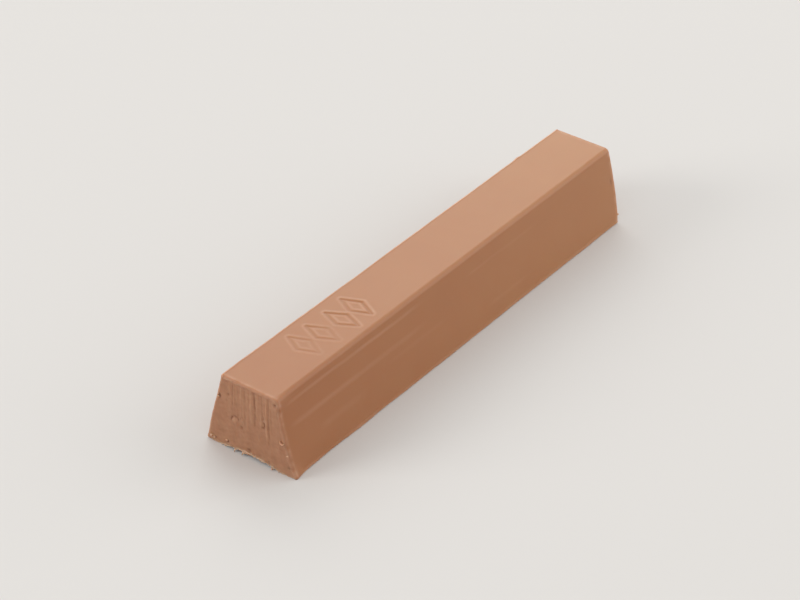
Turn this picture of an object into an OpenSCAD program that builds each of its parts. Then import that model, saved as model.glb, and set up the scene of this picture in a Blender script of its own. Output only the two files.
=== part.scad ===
/* [Bar] */
// Length between the two cuts, taken at half the bar's height
bar_len = 90; // [45:1:150]
// Width across the foot, between the sharp corners
foot_w = 17.5; // [15:0.5:24]
// Width across the top, between the sharp corners
top_w = 10.8; // [9:0.2:13]
// Height from the foot to the top
bar_h = 13.5; // [9:0.5:20]
// Radius of the long top edge on the right, at -Y
right_edge_r = 0.85; // [0.3:0.05:2]
// Radius of the long top edge on the left, at +Y, which is crisper
left_edge_r = 0.5; // [0.3:0.05:2]
// Radius of the two long foot edges
foot_edge_r = 0.4; // [0.2:0.1:1]

/* [Underside] */
// Width of the flat strip that the bar rests on, beside each foot edge
rest_strip_w = 2.2; // [1:0.1:4]
// Depth of the hollow that the wax drew up between the strips as it cooled
sink_depth = 0.6; // [0.2:0.1:1.5]

/* [Cut ends] */
// How far the far cut leans out from foot to top
far_cut_lean = 0.75; // [0.1:0.05:2]
// How far the far cut swells past its straight line, at half height
far_cut_swell = 0.35; // [0.2:0.05:1.5]

/* [Punched marks] */
// Number of lozenges in the row
lozenge_count = 4; // [0:1:6]
// Distance from one lozenge's middle to the next
lozenge_pitch = 4.4; // [3.6:0.1:5]
// Size of a lozenge across the bar, groove middle to groove middle
lozenge_across = 6.2; // [3:0.1:6.4]
// Size of a lozenge along the bar, groove middle to groove middle
lozenge_along = 3; // [2:0.1:3.2]
// Distance from the near cut to the middle of the first lozenge
first_lozenge_inset = 13.5; // [5:0.5:15]
// Width of the punched groove at the surface
groove_w = 0.7; // [0.2:0.05:0.8]
// Depth of the punched groove
groove_depth = 0.15; // [0.1:0.05:0.6]

/* [Sawing scraps] */
// Length of the longest sliver left on the near cut's foot rim
sliver_len = 0.9; // [0.4:0.1:1]
// Width of a sliver at its root
sliver_w = 0.35; // [0.2:0.05:0.5]
// Thickness of a sliver
sliver_t = 0.2; // [0.1:0.05:0.4]
// How far the longest sliver hangs below the foot rim
sliver_drop = 0.28; // [0.05:0.01:0.28]
// Outer radius of the curl on the near cut's side rim
curl_r = 0.5; // [0.3:0.1:0.8]
// Thickness of the curl's ribbon
curl_t = 0.18; // [0.1:0.02:0.24]
// How far the curl stands out from the near cut
curl_reach = 0.35; // [0.1:0.05:0.6]
// Radius of the largest crumb
crumb_r = 0.32; // [0.2:0.02:0.5]

/* [Hidden] */
$fn = 128;
top_edge_steps = 10;
foot_edge_steps = 8;

wax_colour = [0.76, 0.59, 0.47];
scrap_colour = [0.84, 0.68, 0.56];

// The cuts stand at near_x and far_x, the middle of the bar's foot is the origin
near_x = -bar_len / 2;
far_x = bar_len / 2;
overrun = bar_h / 10;

// The sides lean in by side_lean, and a rounded corner starts one tangent length from the sharp one
side_lean = (foot_w - top_w) / 2;
side_turn = atan(side_lean / bar_h);
tangent_share = tan((90 - side_turn) / 2);
foot_tangent = foot_edge_r * tan((90 + side_turn) / 2);

// The hollow under the bar is a shallow arc through the inner edges of the two rest strips
sink_half_w = foot_w / 2 - foot_tangent - rest_strip_w;
sink_r = (sink_half_w * sink_half_w + sink_depth * sink_depth) / (2 * sink_depth);

// The far cut is part of a wide cylinder that lies across the bar
swell_r = (bar_h * bar_h / 4 + far_cut_swell * far_cut_swell) / (2 * far_cut_swell);
lean_turn = atan(far_cut_lean / bar_h);
far_reach = far_cut_lean + far_cut_swell + overrun;

// Each punch stroke was set by eye, so a lozenge sits a little off its place and turned
punch_shift_shares = [0.02, -0.03, 0.05, -0.02, 0.03, -0.04];
punch_side_shares = [0.03, -0.02, -0.04, 0.02, -0.03, 0.01];
punch_turns = [-3, 2, 4, -2, 3, -4];

// Each sliver: its place across the foot, and its length and drop as shares of the longest
sliver_shares = [[0.47, 0.75, 0.55], [0.24, 0.9, 0.8], [-0.52, 0.6, 0.6], [-0.71, 1, 1]];
// The curl's height up the bar, and how far out it lies between the middle and the side
curl_place_shares = [0.47, 0.98];
// Each crumb on the near cut: height up the bar, place between middle and side, size
near_crumb_shares = [[0.28, -0.98, 0.7], [0.06, 0.94, 1], [0.1, 0.58, 0.75], [0.68, 0.96, 0.7]];
// The crumb on the far cut: height up the bar and place between middle and side
far_crumb_place_shares = [0.1, -0.99];
// How deep a crumb sits in the face that it clings to, as a share of its radius
crumb_seat_share = 0.3;

// Half the bar's width at a share of its height
function half_w_at(height_share) = foot_w / 2 - side_lean * height_share;

// Height of the foot rim at a distance from the bar's middle
function foot_rim_z(y) = abs(y) < sink_half_w
    ? sink_depth - sink_r + sqrt(sink_r * sink_r - y * y)
    : 0;

// Points along an arc, both ends included
function arc(middle, r, from, to, steps) = [
    for (i = [0 : 1 : steps])
        let (turn = from + (to - from) * i / steps)
        middle + r * [cos(turn), sin(turn)]
];

// The outline of one side: round its foot edge and round its top edge
function side_outline(r) = concat(
    arc([foot_w / 2 - foot_tangent, foot_edge_r], foot_edge_r, -90, side_turn, foot_edge_steps),
    arc([top_w / 2 - r * tangent_share, bar_h - r], r, side_turn, 90, top_edge_steps)
);

// The cast cross-section, from the foot up the left side, over the top and down the right side
module bar_section() {
    left = side_outline(left_edge_r);
    right = side_outline(right_edge_r);
    polygon([
        each left,
        for (i = [len(right) - 1 : -1 : 0]) [-right[i][0], right[i][1]]
    ]);
}

// The hollow along the foot
module sink() {
    translate([near_x - overrun, 0, sink_depth - sink_r])
        rotate([0, 90, 0])
        cylinder(r = sink_r, h = bar_len + far_reach + 2 * overrun);
}

// All that lies beyond the far cut
module far_waste() {
    translate([far_x, 0, bar_h / 2])
        rotate([0, lean_turn, 0])
        difference() {
            translate([-overrun, -foot_w / 2 - overrun, -bar_h / 2 - overrun])
                cube([2 * (overrun + far_reach), foot_w + 2 * overrun, bar_h + 2 * overrun]);
            translate([far_cut_swell - swell_r, 0, 0])
                rotate([90, 0, 0])
                cylinder(r = swell_r, h = foot_w + 4 * overrun, center = true);
        }
}

// A straight punched groove along Y, open at the top face
module groove(length) {
    half_open_w = groove_w / 2 * (groove_depth + overrun) / groove_depth;
    rotate([90, 0, 0])
        linear_extrude(height = length, center = true)
        polygon([[0, -groove_depth], [half_open_w, overrun], [-half_open_w, overrun]]);
}

// Four grooves from corner to corner
module lozenge() {
    edge_len = norm([lozenge_along, lozenge_across]) / 2;
    edge_turn = atan(lozenge_along / lozenge_across);
    for (sx = [-1, 1], sy = [-1, 1])
        translate([sx * lozenge_along / 4, sy * lozenge_across / 4, 0])
            rotate([0, 0, sx * sy * edge_turn])
            groove(edge_len + groove_w / 2);
}

module lozenge_row() {
    for (i = [0 : 1 : lozenge_count - 1]) {
        j = i % len(punch_turns);
        translate([
            near_x + first_lozenge_inset + (i + punch_shift_shares[j]) * lozenge_pitch,
            punch_side_shares[j] * lozenge_across,
            bar_h
        ])
            rotate([0, 0, punch_turns[j]])
            lozenge();
    }
}

module wax_bar() {
    color(wax_colour) difference() {
        translate([near_x, 0, 0])
            rotate([90, 0, 90])
            linear_extrude(height = bar_len + far_reach)
            bar_section();
        sink();
        far_waste();
        lozenge_row();
    }
}

// Slivers torn out by the saw, flat on the near cut with their tips below the foot rim
module near_rim_slivers() {
    color(scrap_colour) for (s = sliver_shares) {
        y = s[0] * sink_half_w;
        tip = foot_rim_z(y) - s[2] * sliver_drop;
        translate([near_x - sliver_t, y, tip])
            rotate([90, 0, 90])
            linear_extrude(height = sliver_t)
            polygon([[0, 0], [sliver_w / 2, s[1] * sliver_len], [-sliver_w / 2, s[1] * sliver_len]]);
    }
}

// A ribbon of wax bent over to a half ring, on edge on the near cut by the side rim
module near_rim_curl() {
    z = curl_place_shares[0] * bar_h;
    color(scrap_colour)
        translate([near_x - curl_reach, curl_r - curl_place_shares[1] * half_w_at(curl_place_shares[0]), z])
        rotate([90, 0, 90])
        difference() {
            cylinder(r = curl_r, h = curl_reach);
            translate([0, 0, -overrun]) cylinder(r = curl_r - curl_t, h = curl_reach + 2 * overrun);
            translate([-2 * curl_r, 0, -overrun]) cube([4 * curl_r, 2 * curl_r, curl_reach + 2 * overrun]);
        }
}

// Round crumbs clinging to the near cut
module near_face_crumbs() {
    color(scrap_colour) for (c = near_crumb_shares) {
        r = c[2] * crumb_r;
        difference() {
            translate([near_x - r * (1 - crumb_seat_share), c[1] * (half_w_at(c[0]) - r), c[0] * bar_h])
                rotate([0, 90, 0])
                sphere(r = r);
            translate([near_x, -foot_w / 2 - overrun, -overrun])
                cube([2 * crumb_r, foot_w + 2 * overrun, bar_h + 2 * overrun]);
        }
    }
}

// A round crumb on the far cut, trimmed to the cut's own curve
module far_rim_crumb() {
    height_share = far_crumb_place_shares[0];
    rise = (height_share - 0.5) * bar_h;
    face_x = sqrt(swell_r * swell_r - rise * rise) - swell_r + far_cut_swell;
    color(scrap_colour) intersection() {
        translate([far_x, 0, bar_h / 2])
            rotate([0, lean_turn, 0])
            translate([face_x + crumb_r * (1 - crumb_seat_share), 0, rise])
            translate([0, far_crumb_place_shares[1] * (half_w_at(height_share) - crumb_r), 0])
            sphere(r = crumb_r);
        far_waste();
    }
}

wax_bar();
near_rim_slivers();
near_rim_curl();
near_face_crumbs();
far_rim_crumb();
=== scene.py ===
import math
import bpy
import numpy as np
from mathutils import Matrix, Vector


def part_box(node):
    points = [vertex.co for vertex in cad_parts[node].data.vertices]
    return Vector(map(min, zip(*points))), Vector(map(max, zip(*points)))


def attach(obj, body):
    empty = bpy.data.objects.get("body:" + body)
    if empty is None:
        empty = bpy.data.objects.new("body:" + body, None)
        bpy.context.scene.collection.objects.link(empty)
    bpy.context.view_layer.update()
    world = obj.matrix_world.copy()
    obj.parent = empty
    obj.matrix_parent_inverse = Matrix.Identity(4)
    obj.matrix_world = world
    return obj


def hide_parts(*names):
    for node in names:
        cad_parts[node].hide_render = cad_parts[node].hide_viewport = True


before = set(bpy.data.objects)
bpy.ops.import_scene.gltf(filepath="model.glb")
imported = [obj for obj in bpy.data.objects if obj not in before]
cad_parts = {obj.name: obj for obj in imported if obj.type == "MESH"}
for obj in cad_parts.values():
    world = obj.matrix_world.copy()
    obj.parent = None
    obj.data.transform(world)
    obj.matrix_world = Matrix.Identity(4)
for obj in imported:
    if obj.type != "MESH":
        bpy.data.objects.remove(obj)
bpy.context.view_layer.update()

# Sizes are in millimetres until a mesh is made
MM = 0.001
LOW, HIGH = (np.array(corner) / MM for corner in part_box("wax_bar"))

# The bar's section and length, as the frame holds them
NEAR_X = LOW[0]
BAR_LEN = -2 * NEAR_X
BAR_H = HIGH[2]
FOOT_W = 17.5
TOP_W = 10.8
RIGHT_EDGE_R = 0.85
LEFT_EDGE_R = 0.5
FOOT_EDGE_R = 0.4
REST_STRIP_W = 2.2
SINK_DEPTH = 0.6
FAR_CUT_LEAN = 0.75
FAR_CUT_SWELL = 0.35

# The row of punched lozenges
LOZENGE_COUNT = 4
LOZENGE_PITCH = 4.4
LOZENGE_ACROSS = 6.2
LOZENGE_ALONG = 3.0
FIRST_LOZENGE_INSET = 13.5
GROOVE_W = 0.7
GROOVE_DEPTH = 0.15
PUNCH_SHIFTS = (0.02, -0.03, 0.05, -0.02)
PUNCH_SIDES = (0.03, -0.02, -0.04, 0.02)
PUNCH_TURNS = (-3, 2, 4, -2)
# How hard each lozenge was struck, how much harder on its left and how much harder on its far side
PUNCH_FORCE = (0.36, 0.42, 0.6, 0.64)
PUNCH_TILT = (0.35, 0.4, 0.1, -0.1)
PUNCH_ROLL = (-0.25, -0.2, 0.15, 0.25)

# Derived places in the section
SIDE_TURN = math.atan((FOOT_W - TOP_W) / 2 / BAR_H)
TOP_TANGENT_SHARE = math.tan((math.pi / 2 - SIDE_TURN) / 2)
FOOT_TANGENT = FOOT_EDGE_R * math.tan((math.pi / 2 + SIDE_TURN) / 2)
SINK_HALF_W = FOOT_W / 2 - FOOT_TANGENT - REST_STRIP_W
SINK_R = (SINK_HALF_W ** 2 + SINK_DEPTH ** 2) / (2 * SINK_DEPTH)

# Grid cells: half an arc of the long edges, half of the top, a strip, half of the hollow, a side,
# whose cells lie closer at its two ends
ARC_TOP_CELLS = 7
ARC_FOOT_CELLS = 4
TOP_HALF_CELLS = 41
STRIP_CELLS = 8
SINK_HALF_CELLS = 36
SIDE_CELLS = 61
SIDE_EASE = 0.6
ACROSS = 2 * (ARC_TOP_CELLS + TOP_HALF_CELLS)
UP = ARC_TOP_CELLS + SIDE_CELLS + ARC_FOOT_CELLS
AROUND = 2 * (ACROSS + UP)

# How many cosines make up a ripple
RIPPLE_WAVES = 14


def smooth(low, high, value):
    """0 before low, 1 past high and an even S between them, 3t^2 - 2t^3. Low may be the larger."""
    t = np.clip((value - low) / (high - low), 0, 1)
    return t * t * (3 - 2 * t)


def bell(value, width):
    """A bell curve, exp(-(value / width)^2)."""
    return np.exp(-(value / width) ** 2)


def at(*coordinates):
    """Points from their coordinates, each an array or a number that fits one shared grid."""
    return np.stack(np.broadcast_arrays(*coordinates), axis=-1)


def ripple(points, wavelength, seed):
    """An even, seamless waviness from -1 to 1 or so: a sum of cosines whose directions, wavelengths
    and phases are drawn once from the seed."""
    rng = np.random.default_rng(seed)
    directions = rng.normal(size=(points.shape[-1], RIPPLE_WAVES))
    directions /= np.linalg.norm(directions, axis=0)
    turns = 2 * math.pi / (wavelength * rng.uniform(0.7, 1.6, RIPPLE_WAVES))
    phases = rng.uniform(0, 2 * math.pi, RIPPLE_WAVES)
    return np.cos(points @ (directions * turns) + phases).sum(axis=-1) / math.sqrt(RIPPLE_WAVES)


def waves(points, table):
    """A sum of ripples, each given as (height, wavelength, seed)."""
    return sum(height * ripple(points, wavelength, seed) for height, wavelength, seed in table)


def facing(normal):
    """From 0 to 1, how much a point faces one way: an even S of its normal's share that way."""
    return smooth(0.5, 0.9, normal)


def arc(middle, radius, start, stop, cells):
    """Points on a circle from one angle to another, both ends included."""
    turn = np.linspace(start, stop, cells + 1)
    return at(middle[0] + radius * np.cos(turn), middle[1] + radius * np.sin(turn))


def line(start, stop, cells, ease=0.0):
    """Points on a straight line. Ease draws them to both ends: t - ease sin(2 pi t) / (2 pi)."""
    t = np.linspace(0, 1, cells + 1)
    t = t - ease * np.sin(2 * math.pi * t) / (2 * math.pi)
    return np.array(start) + t[:, None] * (np.array(stop) - np.array(start))


def half_section(edge_r):
    """Half of the casting's outline, seen along the bar: the top from its middle out, the side down
    to the foot edge and the foot back in, as lines and arcs, cut half way round each edge."""
    top_middle = (TOP_W / 2 - edge_r * TOP_TANGENT_SHARE, BAR_H - edge_r)
    foot_middle = (FOOT_W / 2 - FOOT_TANGENT, FOOT_EDGE_R)
    sink_middle = (0, SINK_DEPTH - SINK_R)
    top_split = (math.pi / 2 + SIDE_TURN) / 2
    foot_split = (SIDE_TURN - math.pi / 2) / 2
    sink_turn = math.asin(SINK_HALF_W / SINK_R)
    top_half = np.concatenate([
        line((0, BAR_H), (top_middle[0], BAR_H), TOP_HALF_CELLS)[:-1],
        arc(top_middle, edge_r, math.pi / 2, top_split, ARC_TOP_CELLS),
    ])
    side_arc = arc(top_middle, edge_r, top_split, SIDE_TURN, ARC_TOP_CELLS)
    foot_arc = arc(foot_middle, FOOT_EDGE_R, SIDE_TURN, foot_split, ARC_FOOT_CELLS)
    side = np.concatenate([
        side_arc[:-1],
        line(side_arc[-1], foot_arc[0], SIDE_CELLS, SIDE_EASE)[:-1],
        foot_arc,
    ])
    foot_half = np.concatenate([
        arc(foot_middle, FOOT_EDGE_R, foot_split, -math.pi / 2, ARC_FOOT_CELLS)[:-1],
        line((foot_middle[0], 0), (SINK_HALF_W, 0), STRIP_CELLS)[:-1],
        arc(sink_middle, SINK_R, math.pi / 2 - sink_turn, math.pi / 2, SINK_HALF_CELLS),
    ])
    return top_half, side, foot_half


def section():
    """The whole outline as one loop: it starts on the left top edge and runs over the top, down the
    right side, under the foot and up the left side."""
    left_top, left_side, left_foot = half_section(LEFT_EDGE_R)
    right = [half[:-1] * np.array([-1, 1]) for half in half_section(RIGHT_EDGE_R)]
    left_foot_and_side = [left_foot[::-1][:-1], left_side[::-1][:-1]]
    return np.concatenate([left_top[::-1][:-1]] + right + left_foot_and_side)


# Stations along the bar lie closer where the detail is finer: counts per millimetre and reaches
STATION_CELLS = 236
STATION_STEPS = 20000
OPEN_DENSITY = 1.0
PUNCHED_DENSITY = 7.0
PUNCHED_MARGIN = 0.8
PUNCHED_FADE = 1.2
RIM_DENSITY = 20.0
RIM_REACH = 0.36
END_DENSITY = 3.0
END_REACH = 3.0


def stations():
    """Distances from the near cut: the running sum of the density, cut into equal shares."""
    fine = np.linspace(0, BAR_LEN, STATION_STEPS + 1)
    row_start = FIRST_LOZENGE_INSET - LOZENGE_ALONG / 2 - PUNCHED_MARGIN
    row_stop = row_start + (LOZENGE_COUNT - 1) * LOZENGE_PITCH + LOZENGE_ALONG + 2 * PUNCHED_MARGIN
    density = OPEN_DENSITY + PUNCHED_DENSITY * (
        smooth(row_start - PUNCHED_FADE, row_start, fine)
        - smooth(row_stop, row_stop + PUNCHED_FADE, fine)
    )
    for inset in (fine, BAR_LEN - fine):
        density += RIM_DENSITY * np.exp(-inset / RIM_REACH)
        density += END_DENSITY * np.exp(-inset / END_REACH)
    total = np.concatenate([[0], np.cumsum((density[1:] + density[:-1]) / 2)])
    return np.interp(np.linspace(0, total[-1], STATION_CELLS + 1), total, fine)


def outward(ring):
    """The outward normals of a closed outline, from the step between each point's neighbours."""
    step = np.roll(ring, -1, axis=0) - np.roll(ring, 1, axis=0)
    normal = at(step[:, 1], -step[:, 0])
    return normal / np.linalg.norm(normal, axis=-1, keepdims=True)


# The wax that a punch pushes up beside its groove, and the dished middle of a lozenge
LIP_PLACE = 0.55
LIP_SPREAD = 0.26
LIP_HEIGHT = 0.06
LIP_END_IN_GROOVE = 0.3
DISH_DEPTH = 0.02
DISH_FADE = (0.3, 1.0)


def punched_row(x, y):
    """(height, lip, sunk) of the punched top: each lozenge's groove falls in an even S with the
    distance from its outline, beside it the displaced wax stands up as a soft bell, and its middle
    is dished. All of it is scaled by the force of the stroke at that point."""
    height = np.zeros_like(x)
    lip = np.zeros_like(x)
    sunk = np.zeros_like(x)
    corner_a = LOZENGE_ALONG / 2
    corner_b = LOZENGE_ACROSS / 2
    edge = np.array([-corner_a, corner_b])
    for i in range(LOZENGE_COUNT):
        turn = math.radians(PUNCH_TURNS[i])
        dx = x - (NEAR_X + FIRST_LOZENGE_INSET + (i + PUNCH_SHIFTS[i]) * LOZENGE_PITCH)
        dy = y - PUNCH_SIDES[i] * LOZENGE_ACROSS
        along = dx * math.cos(turn) + dy * math.sin(turn)
        across = dy * math.cos(turn) - dx * math.sin(turn)
        past = np.abs(along) - corner_a
        share = np.clip((past * edge[0] + np.abs(across) * edge[1]) / (edge @ edge), 0, 1)
        away = np.hypot(past - share * edge[0], np.abs(across) - share * edge[1])
        tilt = PUNCH_TILT[i] * across / corner_b
        roll = PUNCH_ROLL[i] * along / corner_a
        force = PUNCH_FORCE[i] * (1 + tilt + roll)
        groove = smooth(0, 1, 1 - away / (GROOVE_W / 2))
        raised = bell(away - LIP_PLACE, LIP_SPREAD) * (1 - smooth(0, LIP_END_IN_GROOVE, groove))
        inside = np.abs(along) / corner_a + np.abs(across) / corner_b < 1
        height += force * (LIP_HEIGHT * raised - GROOVE_DEPTH * groove)
        height -= force * DISH_DEPTH * inside * smooth(*DISH_FADE, away)
        lip = np.maximum(lip, raised * force)
        sunk = np.maximum(sunk, groove * force)
    return height, lip, sunk


# The cast skin's slow waves and the foot lip's waves, as (height, wavelength, seed)
SKIN_WAVES = ((0.02, 11.0, 3),)
FOOT_LIP_WAVES = ((0.2, 9, 5), (0.12, 2.5, 6))
# The thin lip of wax along each foot edge. The two edges read their waves this far apart
FOOT_LIP = 0.15
FOOT_LIP_Z = 0.15
FOOT_LIP_HEIGHT = 0.26
EDGE_APART = 40
# Swells of the sides beside the near cut: side (-1 right, 1 left), height, reach along the bar, and
# middle and width as shares of the bar's height
NEAR_SWELLS = (
    (-1, 0.25, 1.8, 0.93, 0.1), (-1, 0.42, 1.8, 0, 0.12), (-1, -0.15, 1.8, 0.5, 0.25),
    (1, 0.15, 3, 0.35, 0.25),
)
# The bump on the left top edge, and that edge's worn arris
EDGE_BUMP = 0.14
EDGE_BUMP_X = 33.2
EDGE_BUMP_LEN = 0.45
EDGE_BUMP_SHARE = 0.08
LEFT_ARRIS = 0.07
ARRIS_RISE = 0.985
ARRIS_SHARE = 0.035
ARRIS_WAVE = 0.4
# The small chip beside the far rim, on the right side
CHIP_X = 44.45
CHIP_Z = 7.8
CHIP_LEN = 0.28
CHIP_HEIGHT = 0.5
CHIP_DEPTH = 0.08


def chip_share(x, z, normal_y):
    """The chip as a share of its depth: a bell along the bar times one in height, on the right."""
    return bell(x - CHIP_X, CHIP_LEN) * bell(z - CHIP_Z, CHIP_HEIGHT) * facing(-normal_y)


def skin_height(x, y, z, normal_y):
    """How far the skin stands out from the plain section, by place: slow waves everywhere, a thin
    lip along the foot edges, swells beside the near cut, the bump and the worn arris of the left
    top edge, less the chip. Each is a height times bells of the distance to its place."""
    inset = x - NEAR_X
    rise = z / BAR_H
    height = waves(at(x, y, z), SKIN_WAVES)
    lip_wave = 1 + waves(at(x, EDGE_APART * np.sign(y)), FOOT_LIP_WAVES)
    height += FOOT_LIP * lip_wave * np.abs(normal_y) * bell(z - FOOT_LIP_Z, FOOT_LIP_HEIGHT)
    for side, swell, reach, middle, width in NEAR_SWELLS:
        on_side = smooth(0.2, 0.8, side * normal_y)
        height += on_side * bell(inset, reach) * swell * bell(rise - middle, width)
    bump = bell(x - EDGE_BUMP_X, EDGE_BUMP_LEN) * bell(rise - 1, EDGE_BUMP_SHARE)
    height += EDGE_BUMP * bump * smooth(0, 0.5, normal_y)
    arris = bell(rise - ARRIS_RISE, ARRIS_SHARE) * smooth(0, 0.4, normal_y)
    height += LEFT_ARRIS * arris * (1 + ARRIS_WAVE * lip_wave)
    return height - CHIP_DEPTH * chip_share(x, z, normal_y)


# The near cut's waves and its mottle, as (height, wavelength, seed)
NEAR_FACE_WAVES = ((0.04, 7, 21), (0.014, 1.6, 22))
NEAR_FACE_MOTTLE = ((0.12, 2.2, 25), (0.09, 0.7, 29))
# Upright scrape lines, as (height, spacing, how much of the upright distance counts, seed)
SCRAPE_LINES = ((0.012, 0.8, 0.08, 23), (0.008, 0.4, 0.2, 27))
# They cover the upper face between the two sides, and run out at a wavy height
SCRAPED_FROM = 6.4
SCRAPED_FROM_WAVES = ((1.1, 1.5, 24),)
SCRAPED_FADE = (-1.4, 1.6)
SCRAPED_TOP_FADE = (BAR_H - 0.9, BAR_H - 0.1)
SCRAPED_RIGHT_FADE = (-6.2, -5)
SCRAPED_LEFT_FADE = (3.8, 5.4)
# Each streak is (place across, half width, height). It swings to and fro and is broken up
STREAKS = (
    (3.2, 0.13, -0.05), (2.95, 0.1, 0.02), (2.3, 0.12, -0.035), (1.63, 0.16, 0.04),
    (0.9, 0.12, -0.03), (0.45, 0.1, 0.015), (-0.33, 0.18, 0.05), (-1.12, 0.2, -0.075),
    (-1.75, 0.12, 0.02), (-2.05, 0.1, -0.03), (-2.5, 0.12, -0.03), (-3.35, 0.16, 0.06),
    (-3.8, 0.12, -0.065), (-4.3, 0.1, -0.02), (-4.7, 0.14, 0.025),
)
STREAK_SWING = 0.06
STREAK_BREAKS = ((0.4, 1.8, 28),)
STREAK_APART = 9
# Each pit is (place across, height, radius, depth), and a raised one has a negative depth
NEAR_PITS = (
    (5.75, 9.45, 0.3, 0.2), (4.0, 10.35, 0.24, 0.16), (4.4, 9.2, 0.18, 0.08),
    (3.35, 6.4, 0.2, 0.12), (0.8, 7.5, 0.2, 0.12), (1.6, 5.1, 0.3, 0.18), (3.9, 4.6, 0.3, -0.05),
    (0.2, 1.25, 0.34, 0.2), (-0.7, 0.85, 0.22, 0.14), (-3.7, 0.9, 0.22, 0.14),
    (4.5, 0.95, 0.26, 0.14), (7.4, 1.2, 0.26, 0.12), (-5.15, 12.35, 0.28, 0.18),
    (-7.0, 6.0, 0.26, 0.2), (6.9, 0.9, 0.18, 0.12), (-7.6, 1.5, 0.26, 0.14),
)
# Each torn flake is (place across, height, radius, facing of its open side in degrees, lift)
FLAKES = (
    (-2.35, 8.85, 0.42, 20, 0.08), (-2.4, 7.6, 0.6, 10, 0.12), (2.8, 5.85, 0.82, 250, 0.12),
    (1.35, 6.6, 0.4, 250, 0.07), (-0.4, 10.9, 0.35, 200, 0.03),
)
FLAKE_GAP_W = 0.13
FLAKE_GAP_DEPTH = 1.2
FLAKE_SWELL_W = 0.75
# Colour per millimetre of relief, painted shade where it sinks and painted highlight where it
# rises, and the tone of all scraped wax
SCRAPED_STAIN = 0.16
STREAK_PAINTED_SHADING = 7
FLAKE_PAINTED_HIGHLIGHT = 4
FLAKE_GAP_PAINTED_SHADE = 9
PIT_PAINTED_SHADE = 5


def near_cut_relief(y, z):
    """(height, tone and shade) of the near cut: a wavy sawn face, upright scrape streaks over its
    upper part that run out at uneven heights, flakes half torn off, each a low swelling with a
    crescent of a gap round its closed side, and pits. Each is a bell of the distance to its place.
    The colour is painted shade, darker in the gaps, the pits and the deeper streaks, and painted
    highlight, paler on ridges and swellings, over a random mottle and the paler tone of scraped
    wax."""
    points = at(y, z)
    height = waves(points, NEAR_FACE_WAVES)
    scrape = sum(
        rise * ripple(at(y, upright * z), spacing, seed)
        for rise, spacing, upright, seed in SCRAPE_LINES
    )
    for place, half_width, rise in STREAKS:
        broken = 1 + waves(at(STREAK_APART * place, z), STREAK_BREAKS)
        swung = y - place + STREAK_SWING * np.sin(z + place)
        scrape = scrape + rise * broken * bell(swung, half_width)
    run_out = SCRAPED_FROM + waves(at(y, 0), SCRAPED_FROM_WAVES)
    scraped = smooth(*SCRAPED_FADE, z - run_out) * (1 - smooth(*SCRAPED_TOP_FADE, z))
    scraped *= smooth(*SCRAPED_RIGHT_FADE, y) * (1 - smooth(*SCRAPED_LEFT_FADE, y))
    height += scrape * scraped
    tone_and_shade = (SCRAPED_STAIN + STREAK_PAINTED_SHADING * scrape) * scraped + waves(points, NEAR_FACE_MOTTLE)
    for place, rise, radius, open_side, lift in FLAKES:
        away = np.hypot(y - place, z - rise)
        turn = np.arctan2(z - rise, y - place) - math.radians(open_side)
        gap = lift * bell(away - radius, FLAKE_GAP_W) * smooth(0.2, -0.6, np.cos(turn))
        swelling = lift * bell(away, FLAKE_SWELL_W * radius)
        height += swelling - FLAKE_GAP_DEPTH * gap
        tone_and_shade += FLAKE_PAINTED_HIGHLIGHT * swelling - FLAKE_GAP_PAINTED_SHADE * gap
    for place, rise, radius, depth in NEAR_PITS:
        pit = depth * bell(np.hypot(y - place, z - rise), radius)
        height -= pit
        tone_and_shade -= PIT_PAINTED_SHADE * pit
    return height, tone_and_shade


# The far cut's waves and mottle, as (height, wavelength, seed), and its knife lines
FAR_FACE_WAVES = ((0.06, 6, 31), (0.012, 1.4, 32))
FAR_FACE_MOTTLE = ((0.12, 2.4, 34),)
KNIFE_LINES = ((1, 1.3, 33),)
KNIFE_SLANT = 0.5
KNIFE_HEIGHT = 0.015
# Painted shading of the knife lines: paler where they stand higher, darker where lower
KNIFE_PAINTED_SHADING = 0.1


def far_cut_relief(y, z):
    """(height, tone and shade) of the far cut: a wavy face with a few slanting knife lines, which
    are a ripple of the distance across the slant. Their colour is painted shading, paler where they
    stand higher, over a random mottle."""
    points = at(y, z)
    lines = waves(at(y + KNIFE_SLANT * z, 0), KNIFE_LINES)
    height = waves(points, FAR_FACE_WAVES) + KNIFE_HEIGHT * lines
    return height, KNIFE_PAINTED_SHADING * lines + waves(points, FAR_FACE_MOTTLE)


# How far the far cut's foot rim is worn back, to what height, and the share of the bar's length at
# which its rings begin to follow the far cut
FAR_FOOT_WEAR = 0.22
FAR_FOOT_WEAR_HEIGHT = 0.9
FAR_CUT_START = 0.6


def far_cut_place(z):
    """Where the far cut lies along the bar: a lean from foot to top and a swell that is widest half
    way, 1 - share^2, less a bell that takes back the worn foot rim."""
    share = 2 * z / BAR_H - 1
    cut = FAR_CUT_LEAN / 2 * share + FAR_CUT_SWELL * (1 - share * share)
    return cut - FAR_FOOT_WEAR * bell(z, FAR_FOOT_WEAR_HEIGHT)


def patch(edge_top, edge_foot, edge_left, edge_right):
    """The surface between four edges that share their corners, a Coons patch: the two ways of
    joining opposite edges by straight lines, added, less the straight blend of the corners."""
    s = np.linspace(0, 1, len(edge_top))[:, None, None]
    t = np.linspace(0, 1, len(edge_left))[None, :, None]
    rows = (1 - t) * edge_top[:, None] + t * edge_foot[:, None]
    columns = (1 - s) * edge_left[None] + s * edge_right[None]
    corners = (
        (1 - s) * (1 - t) * edge_top[0] + s * (1 - t) * edge_top[-1]
        + (1 - s) * t * edge_foot[0] + s * t * edge_foot[-1]
    )
    return rows + columns - corners


def quads(index):
    """Four corners for every cell of a grid of vertex numbers."""
    corners = [index[:-1, :-1], index[:-1, 1:], index[1:, 1:], index[1:, :-1]]
    return np.stack(corners, axis=-1).reshape(-1, 4)


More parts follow.
